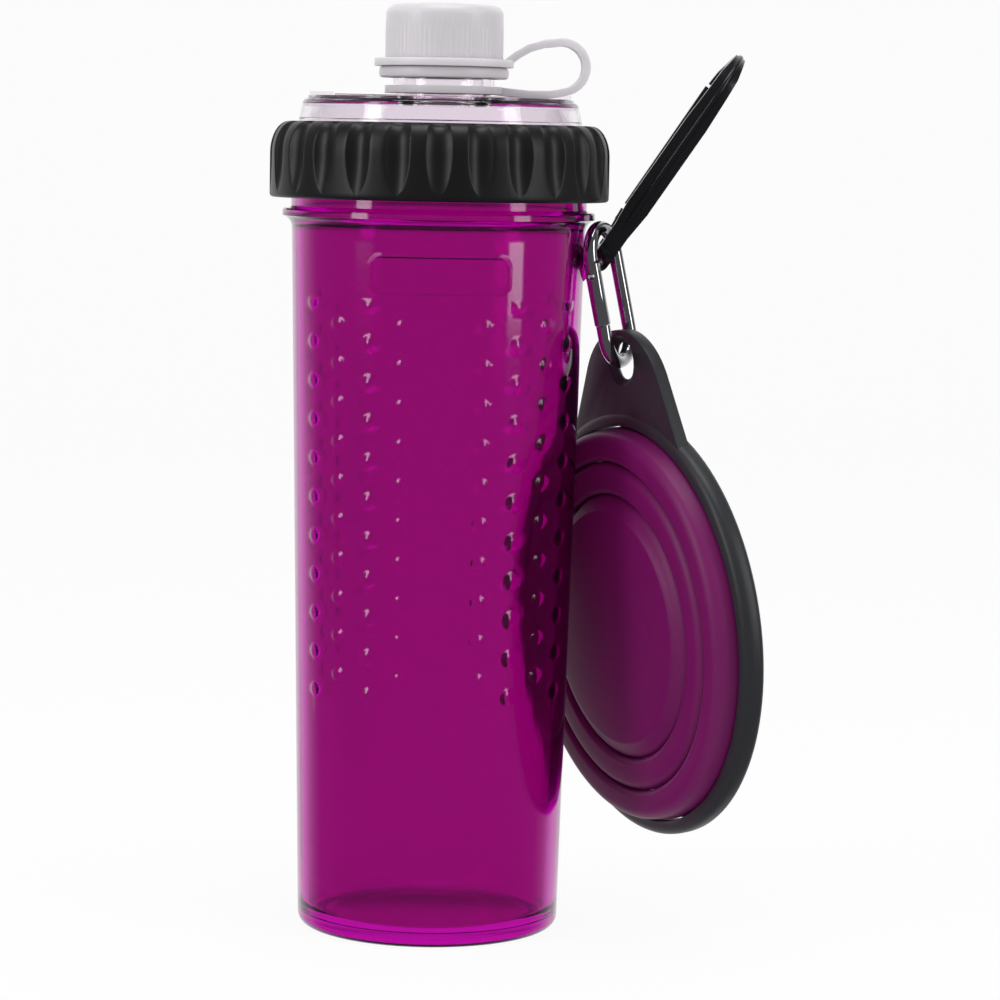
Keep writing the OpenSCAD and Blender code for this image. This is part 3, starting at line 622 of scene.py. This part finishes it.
def ribs_tree(material):
    """Node tree that raises fine upright ribs on a turned wall, round the spout's axis."""
    tree, source = relief_start("fine_ribs", ("Ribs", "Depth"))
    where = add(tree, "GeometryNodeInputPosition").outputs[0]
    x, y, _ = add(tree, "ShaderNodeSeparateXYZ", {0: where}).outputs
    turned = add(tree, "ShaderNodeMath", {0: y, 1: x}, operation="ARCTAN2").outputs[0]
    phase = add(tree, "ShaderNodeMath", {0: turned, 1: source["Ribs"]},
                operation="MULTIPLY").outputs[0]
    wave = add(tree, "ShaderNodeMath", {0: phase}, operation="COSINE").outputs[0]
    side = add(tree, "GeometryNodeInputNamedAttribute", {"Name": "side"},
               data_type="FLOAT").outputs["Attribute"]
    deep = add(tree, "ShaderNodeMath", {0: wave, 1: source["Depth"]}, operation="MULTIPLY")
    deep = add(tree, "ShaderNodeMath", {0: deep.outputs[0], 1: side}, operation="MULTIPLY")
    flat = add(tree, "ShaderNodeCombineXYZ", {0: x, 1: y}).outputs[0]
    out = add(tree, "ShaderNodeVectorMath", {0: flat}, operation="NORMALIZE").outputs[0]
    relief_end(tree, source["Geometry"], out, deep.outputs[0], material)
    return tree


class BOTTLE_OT_cap(bpy.types.Operator):
    """Spout cap with fine ribs, its liner and its strap"""

    bl_idname = "bottle.cap"
    bl_label = "Cap and strap"

    def execute(self, context):
        sizes = context.scene.bottle_sizes
        groove, top, radius, wall = 227.1, 243.3, 15.1, 1.4
        side = [(radius, groove + 0.1 + i * 1.1) for i in range(11)]
        crown = arc(radius - 2.7, top - 3.1, 2.7, 6, 80, 8)
        crown += [(9.0, top - 0.18), (4.0, top - 0.04), (0, top)]
        profile = (
            [(radius - wall, 224.2), (16.0, 224.2), (16.5, 224.5), (16.7, 225.1),
             (16.7, 226.2), (16.4, 226.8), (15.8, 227.05)]
            + side + crown
            + [(0, top - 1.8), (radius - wall, top - 1.8)])
        count = 6 * sizes.cap_ribs
        angles = [2 * math.pi * k / count for k in range(count)]
        obj = lathe("spout_cap_ribbed", profile, angles)
        mark = obj.data.attributes.new("side", "FLOAT", "POINT")
        for i, vertex in enumerate(obj.data.vertices):
            height = vertex.co.z / MM
            on_wall = abs(vertex.co.xy.length / MM - radius) < 0.05
            # the ribs run out towards the groove below and the crown above
            ends = min(1.0, (height - groove) / 1.5, max(0.0, (238.5 - height) / 2))
            mark.data[i].value = ends if on_wall and height > groove else 0.0
        raised(obj, ribs_tree(FINISH["cap"]), {
            "Ribs": float(sizes.cap_ribs), "Depth": -sizes.cap_rib_depth / 2})
        obj.data.transform(Matrix.Translation(Vector((
            SPOUT_OUT * math.sin(SPOUT_TURN), -SPOUT_OUT * math.cos(SPOUT_TURN), 0)) * MM))
        coat(obj, FINISH["cap"])
        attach(obj, "cap")
        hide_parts("spout_cap")
        keep("cap_liner", FINISH["seal"])
        dressed("cap_strap", 0.7, FINISH["strap"], "strap", 4)
        return {"FINISHED"}


class BOTTLE_OT_clip(bpy.types.Operator):
    """Carry clip with its gate, springs and pins"""

    bl_idname = "bottle.clip"
    bl_label = "Carry clip"

    def execute(self, context):
        dressed("clip_frame", 0.7, FINISH["clip"], "clip", 3)
        dressed("clip_gate", 0.5, FINISH["clip"], "clip_gate", 3)
        # a bead runs along the outside of the near limb and round the tip
        # the loop's round ends: each one's place along the clip and its radius
        root, tip, slant = (7.6, 10.0), (51.4, 13.5), 94.58
        a = math.radians(-slant)
        start = (root[0] + root[1] * math.cos(a), root[1] * math.sin(a))
        end = (tip[0] + tip[1] * math.cos(a), tip[1] * math.sin(a))
        path = [(start[0] + (end[0] - start[0]) * i / 12,
                 start[1] + (end[1] - start[1]) * i / 12) for i in range(1, 12)]
        normals = [(math.cos(a), math.sin(a))] * len(path)
        for i in range(25):
            turn = math.radians(-slant + 150 * i / 24)
            path.append((tip[0] + tip[1] * math.cos(turn), tip[1] * math.sin(turn)))
            normals.append((math.cos(turn), math.sin(turn)))
        verts, faces, around, bead_mm = [], [], 10, 0.55
        for i, ((u, v), (nu, nv)) in enumerate(zip(path, normals)):
            inward = min(1, (min(i, len(path) - 1 - i) + 0.3) / 2)
            thick = bead_mm * math.sin(math.pi * inward / 2)
            for k in range(around):
                t = 2 * math.pi * k / around
                side, up = thick * math.cos(t), 1.3 * thick * math.sin(t)
                verts.append(((u + nu * side) * MM, (v + nv * side) * MM, up * MM))
        for i in range(len(path) - 1):
            faces += [(i * around + k, i * around + (k + 1) % around,
                       (i + 1) * around + (k + 1) % around, (i + 1) * around + k)
                      for k in range(around)]
        faces += [tuple(range(around)), tuple(range(len(verts) - around, len(verts)))]
        bead = piece("clip_bead", verts, faces, 60)
        bead.data.transform(Matrix.Translation(CLIP_PIVOT)
                            @ Matrix.Rotation(CLIP_LEAN, 4, "Y"))
        bead.data.materials.append(FINISH["clip"])
        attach(bead, "clip")
        for node in ("clip_hinge_pin", "clip_pin_washer", "clip_gate_pin", "clip_gate_spring"):
            keep(node, FINISH["steel"])
        return {"FINISHED"}


class BOTTLE_OT_carabiner(bpy.types.Operator):
    """Carabiner between the clip and the bowl"""

    bl_idname = "bottle.carabiner"
    bl_label = "Carabiner"

    def execute(self, context):
        dressed("carabiner_frame", 0.15, FINISH["chrome"], "carabiner")
        dressed("carabiner_gate", 0.2, FINISH["chrome"], "carabiner_gate")
        keep("carabiner_rivet", FINISH["steel"])
        keep("carabiner_spring", FINISH["steel"])
        return {"FINISHED"}


def bowl_place():
    """Where the folded bowl's centre hangs, its axis from the rim to the base on Z."""
    return (Matrix.Translation(Vector((50.0, -2.6, 151.6)) * MM)
            @ Matrix.Rotation(math.radians(208), 4, "Z")
            @ Matrix.Rotation(math.radians(5.2), 4, "Y")
            @ Matrix.Rotation(math.radians(90), 4, "Z")
            @ Matrix.Rotation(math.radians(90), 4, "X")
            @ Matrix.Translation(Vector((0, -70.3, 0)) * MM))


def bowl_stage(name, node, body, profile):
    """One silicone stage, turned round the bowl's axis."""
    count = 144
    angles = [2 * math.pi * k / count for k in range(count)]
    obj = lathe(name, profile, angles, 40)
    obj.data.transform(bowl_place())
    obj.data.materials.append(FINISH["bowl"])
    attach(obj, body)
    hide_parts(node)


class BOTTLE_OT_bowl(bpy.types.Operator):
    """Folding bowl: rim with its hang tab, and the silicone stages"""

    bl_idname = "bottle.bowl"
    bl_label = "Folding bowl"

    def execute(self, context):
        dressed("bowl_rim", 0.6, FINISH["rim"], "bowl", 3)
        wall, high = 1.8, 8.0
        # each shoulder rolls down into the groove round the next stage, as far as the flap
        mouth, base, low, flap = 44.03, 35.43, -4.4, 4.95
        bowl_stage("bowl_outer_silicone", "bowl_outer_wall", "bowl", (
            [(51.2, -3.1), (52.6, -3.1), (52.5, 1.2)]
            + arc(48.6, high - 3.4, 3.4, 14, 84, 9) + [(46.9, high + 0.02)]
            + arc(mouth + 1.75, high - 1.78, 1.75, 80, 176, 8)
            + [(mouth, flap), (mouth + 0.9, flap), (mouth + 2.2, high - wall - 0.1),
               (50.3, high - wall - 0.1), (50.9, 3.0)]))
        bowl_stage("bowl_middle_silicone", "bowl_middle_wall", "bowl_middle", (
            [(43.4, low), (45.6, low), (45.6, low + 0.2), (44.0, low + 0.3), (44.0, 3.6)]
            + arc(40.9, high - 2.9, 3.1, 4, 84, 9) + [(38.6, high + 0.22)]
            + arc(base + 1.75, high - 1.62, 1.75, 80, 176, 8)
            + [(base, flap), (base + 0.9, flap), (base + 2.2, high - wall + 0.3),
               (42.0, high - wall + 0.3), (42.2, low)]))
        bowl_stage("bowl_base_silicone", "bowl_base", "bowl_cup", (
            [(34.8, low), (37.0, low), (37.0, low + 0.2), (35.4, low + 0.3), (35.4, 4.9)]
            + arc(32.9, high - 2.6, 2.5, 4, 62, 7)
            + [(33.2, high + 0.25)] + arc(30.7, high + 0.2, 1.1, 30, 90, 5)
            + [(27, high + 1.42), (18, high + 1.3), (0, high + 1.26), (0, high - wall),
               (33.4, high - wall), (33.6, low)]))
        return {"FINISHED"}


# ------------------------------------------------------------------ stage


class BOTTLE_OT_stage(bpy.types.Operator):
    """White floor and backdrop, soft lamps and the camera"""

    bl_idname = "bottle.stage"
    bl_label = "Stage"

    def execute(self, context):
        scene = context.scene
        scene.view_settings.view_transform = "Standard"

        # the camera sees most of the sweep's white as glow, and the rest keeps the shadow
        material, tree = new_material("Paper_white_sweep")
        glow_share = 0.93
        path = add(tree, "ShaderNodeLightPath").outputs
        seen = add(tree, "ShaderNodeMath", {0: path["Is Camera Ray"],
                                            1: path["Is Glossy Ray"]}, operation="ADD")
        through = add(tree, "ShaderNodeMath", {0: seen.outputs[0],
                                               1: path["Is Transmission Ray"]},
                      operation="ADD", use_clamp=True)
        matt = add(tree, "ShaderNodeBsdfDiffuse", {"Color": linear("#F2F2F2")})
        glow = add(tree, "ShaderNodeEmission", {"Strength": 1.0})
        share = add(tree, "ShaderNodeMath", {0: through.outputs[0], 1: glow_share},
                    operation="MULTIPLY")
        both = add(tree, "ShaderNodeMixShader", {
            0: share.outputs[0], 1: matt.outputs[0], 2: glow.outputs[0]})
        add(tree, "ShaderNodeOutputMaterial", {"Surface": both.outputs[0]})
        half, front, back, high, curve = 0.5, -0.14, 1.6, 3.0, 0.5
        verts = [(-half, front, 0), (half, front, 0)]
        verts += [(x, back + curve * math.sin(math.radians(a)),
                   curve - curve * math.cos(math.radians(a)))
                  for a in range(0, 91, 10) for x in (-half, half)]
        verts += [(-half, back + curve, high), (half, back + curve, high)]
        faces = [(i, i + 1, i + 3, i + 2) for i in range(0, len(verts) - 2, 2)]
        sweep = piece("sweep", verts, faces, 60)
        sweep.data.materials.append(material)
        # the floor's light stays out of the gloss, where it would lie on the wall as a veil
        sweep.visible_glossy = False

        world = bpy.data.worlds.new("studio")
        scene.world = world
        world.use_nodes = True
        tree = world.node_tree
        tree.nodes.clear()
        room = add(tree, "ShaderNodeBackground", {
            "Color": linear("#FFFFFF"), "Strength": 0.62})
        path = add(tree, "ShaderNodeLightPath").outputs
        # the studio is dark in front of the object and white behind it
        toward = add(tree, "ShaderNodeTexCoord").outputs["Generated"]
        depth = add(tree, "ShaderNodeSeparateXYZ", {0: toward}).outputs["Y"]
        dim = add(tree, "ShaderNodeMapRange", {
            "Value": depth, "From Min": 0.25, "From Max": 0.95,
            "To Min": 0.1, "To Max": 1.0}, interpolation_type="SMOOTHSTEP")
        mirrored = add(tree, "ShaderNodeBackground", {
            "Color": linear("#FFFFFF"), "Strength": dim.outputs[0]})
        white = add(tree, "ShaderNodeBackground", {
            "Color": linear("#FFFFFF"), "Strength": 1.0})
        glossy = add(tree, "ShaderNodeMixShader", {
            0: path["Is Glossy Ray"], 1: room.outputs[0], 2: mirrored.outputs[0]})
        seen = add(tree, "ShaderNodeMath", {0: path["Is Camera Ray"],
                                            1: path["Is Transmission Ray"]},
                   operation="ADD", use_clamp=True)
        both = add(tree, "ShaderNodeMixShader", {
            0: seen.outputs[0], 1: glossy.outputs[0], 2: white.outputs[0]})
        add(tree, "ShaderNodeOutputWorld", {"Surface": both.outputs[0]})

        for name, at, wide, tall, watts in (
            ("left_softbox", (-0.8, -0.5, 0.5), 0.25, 0.8, 3.0),
            ("right_softbox", (0.9, -0.45, 0.45), 0.25, 0.8, 2.4),
            ("top_softbox", (0.0, -0.1, 0.95), 0.6, 0.4, 2.6),
        ):
            lamp = bpy.data.lights.new(name, "AREA")
            lamp.shape = "RECTANGLE"
            lamp.size, lamp.size_y = wide, tall
            lamp.energy = watts
            lit = bpy.data.objects.new(name, lamp)
            lit.location = at
            aim = Vector((0.01, 0, 0.12)) - Vector(at)
            lit.rotation_euler = aim.to_track_quat("-Z", "Y").to_euler()
            scene.collection.objects.link(lit)

        lens = bpy.data.cameras.new("camera")
        lens.lens = 127.2
        lens.sensor_width = 36.0
        lens.clip_end = 20.0
        camera = bpy.data.objects.new("camera", lens)
        pitch, roll = math.radians(90 - 5.738), math.radians(1.083)
        camera.matrix_world = (Matrix.Translation((0.01747, -0.9323, 0.20745))
                               @ Matrix.Rotation(pitch, 4, "X")
                               @ Matrix.Rotation(roll, 4, "Z"))
        scene.collection.objects.link(camera)
        scene.camera = camera
        return {"FINISHED"}


class BOTTLE_PT_panel(bpy.types.Panel):
    """Builds the bottle piece by piece"""

    bl_idname = "BOTTLE_PT_panel"
    bl_label = "Water Bottle"
    bl_space_type = "VIEW_3D"
    bl_region_type = "UI"
    bl_category = "Water Bottle"

    def draw(self, context):
        for group in (context.scene.bottle_sizes, context.scene.bottle_colours):
            box = self.layout.box()
            for name in group.__annotations__:
                box.prop(group, name)
        for operator in OPERATORS:
            self.layout.operator(operator.bl_idname)


OPERATORS = (BOTTLE_OT_stage, BOTTLE_OT_body, BOTTLE_OT_lug, BOTTLE_OT_collar,
             BOTTLE_OT_lid, BOTTLE_OT_cap, BOTTLE_OT_clip, BOTTLE_OT_carabiner,
             BOTTLE_OT_bowl)
CLASSES = (BottleSizes, BottleColours) + OPERATORS + (BOTTLE_PT_panel,)


def register():
    for cls in CLASSES:
        bpy.utils.register_class(cls)
    bpy.types.Scene.bottle_sizes = bpy.props.PointerProperty(type=BottleSizes)
    bpy.types.Scene.bottle_colours = bpy.props.PointerProperty(type=BottleColours)


def unregister():
    del bpy.types.Scene.bottle_colours
    del bpy.types.Scene.bottle_sizes
    for cls in reversed(CLASSES):
        bpy.utils.unregister_class(cls)


def main():
    """Builds the whole bottle and its stage."""
    register()
    make_finishes()
    for operator in OPERATORS:
        group, name = operator.bl_idname.split(".")
        getattr(getattr(bpy.ops, group), name)()


if __name__ == "__main__":
    main()
